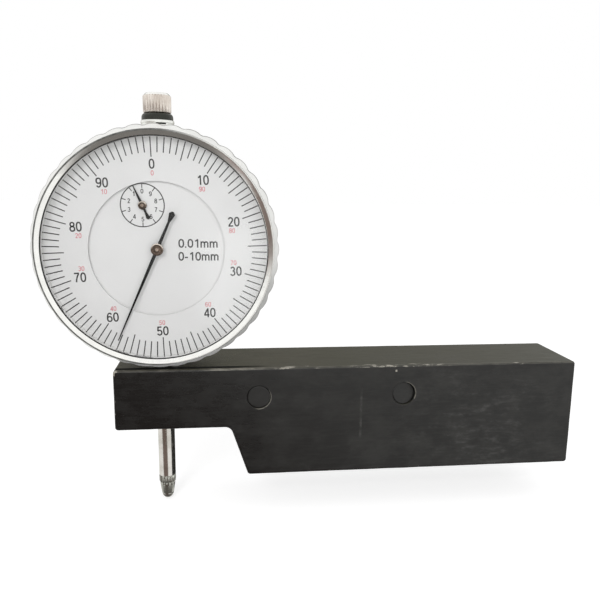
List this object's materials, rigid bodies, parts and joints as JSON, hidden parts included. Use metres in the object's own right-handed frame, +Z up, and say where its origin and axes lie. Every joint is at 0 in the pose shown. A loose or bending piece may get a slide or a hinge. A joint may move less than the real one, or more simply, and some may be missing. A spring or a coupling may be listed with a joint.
{
  "type": "liner height gauge",
  "caption": "Dial indicator clamped upright in a stepped black steel block, for reading how far a cylinder liner stands above or below the face that the block rests on.",
  "frame": {"origin": "centre of the block's base face", "axes": "+X along the block, away from the indicator; +Y from the dial towards the back; +Z up, along the plunger"},
  "size_m": [0.1379, 0.0227, 0.1056],
  "materials": {
    "block_black": "black oxide on ground steel, worn along the edges",
    "plug_black": "black oxide, flush",
    "screw_black": "black oxide",
    "case_grey": "satin",
    "stem_steel": "ground",
    "bush_brass": "turned",
    "collar_steel": "turned and plated",
    "cushion_black": "moulded",
    "plate_brass": "brushed",
    "wheel_brass": "cut",
    "arbor_steel": "polished",
    "spring_steel": "drawn wire",
    "dial_white": "satin print",
    "hand_black": "matt",
    "hub_brass": "turned",
    "bezel_plate": "plated, satin scallops",
    "crystal_clear": "flat, clear",
    "plunger_steel": "ground",
    "cap_steel": "ridged",
    "ball_steel": "polished"
  },
  "bodies": {
    "holder": {"gauge_block": "block_black", "face_plug_1": "plug_black", "face_plug_2": "plug_black", "clamp_screw": "screw_black", "clamp_pad": "bush_brass", "indicator_case": "case_grey", "stem": "stem_steel", "stem_bush_lower": "bush_brass", "stem_bush_upper": "bush_brass", "top_bush": "collar_steel", "cushion_ring": "cushion_black", "back_cover": "case_grey", "cover_screw_1": "arbor_steel", "cover_screw_2": "arbor_steel", "cover_screw_3": "arbor_steel", "cover_screw_4": "arbor_steel", "bezel_wire": "spring_steel", "front_plate": "plate_brass", "plate_pillar_1": "plate_brass", "plate_pillar_2": "plate_brass", "plate_pillar_3": "plate_brass", "plate_screw_1": "arbor_steel", "plate_screw_2": "arbor_steel", "plate_screw_3": "arbor_steel", "centre_bridge": "plate_brass", "bridge_post_1": "plate_brass", "bridge_post_2": "plate_brass", "guide_rail": "arbor_steel", "guide_screw_1": "arbor_steel", "guide_screw_2": "arbor_steel", "spring_post": "plate_brass", "return_spring": "spring_steel", "hairspring": "spring_steel", "hairspring_stud": "plate_brass", "dial_disc": "dial_white"},
    "plunger": {"spindle": "plunger_steel", "contact_point": "plunger_steel", "contact_ball": "ball_steel", "stop_cap": "cap_steel", "guide_arm": "arbor_steel", "guide_pin": "arbor_steel"},
    "counter": {"counter_arbor": "arbor_steel", "counter_wheel": "wheel_brass", "counter_hand": "hand_black", "counter_hub": "hub_brass"},
    "centre": {"centre_arbor": "arbor_steel", "main_hand": "hand_black", "hand_hub": "hub_brass"},
    "takeup": {"takeup_arbor": "arbor_steel", "takeup_wheel": "wheel_brass", "hairspring_collet": "plate_brass"},
    "bezel_set": {"bezel": "bezel_plate", "crystal": "crystal_clear", "spacer_ring": "bezel_plate", "dial_ring": "dial_white", "retaining_ring": "spring_steel"}
  },
  "joints": [
    {"name": "plunger_slide", "type": "slide", "parent": "holder", "child": "plunger", "axis": [0, 0, 1], "range_m": [0, 0.0108], "stiffness_N_per_m": 40, "springref_m": -0.015, "deforming": ["return_spring"]},
    {"name": "centre_spin", "type": "hinge", "parent": "holder", "child": "centre", "pos_m": [-0.065, 0, 0.05815], "axis": [0, 1, 0], "range_deg": [-1, 3890]},
    {"name": "counter_spin", "type": "hinge", "parent": "holder", "child": "counter", "pos_m": [-0.06824, 0, 0.0686], "axis": [0, 1, 0], "range_deg": [-390, 1]},
    {"name": "takeup_spin", "type": "hinge", "parent": "holder", "child": "takeup", "pos_m": [-0.05838, 0, 0.04944], "axis": [0, 1, 0], "range_deg": [-390, 1]},
    {"name": "bezel_turn", "type": "hinge", "parent": "holder", "child": "bezel_set", "pos_m": [-0.065, 0, 0.05815], "axis": [0, 1, 0], "continuous": true}
  ],
  "couplings": [
    {"joint": "centre_spin", "follows": "plunger_slide", "rad_per_m": 6283.2},
    {"joint": "counter_spin", "follows": "plunger_slide", "rad_per_m": -628.32},
    {"joint": "takeup_spin", "follows": "plunger_slide", "rad_per_m": -628.32}
  ]
}
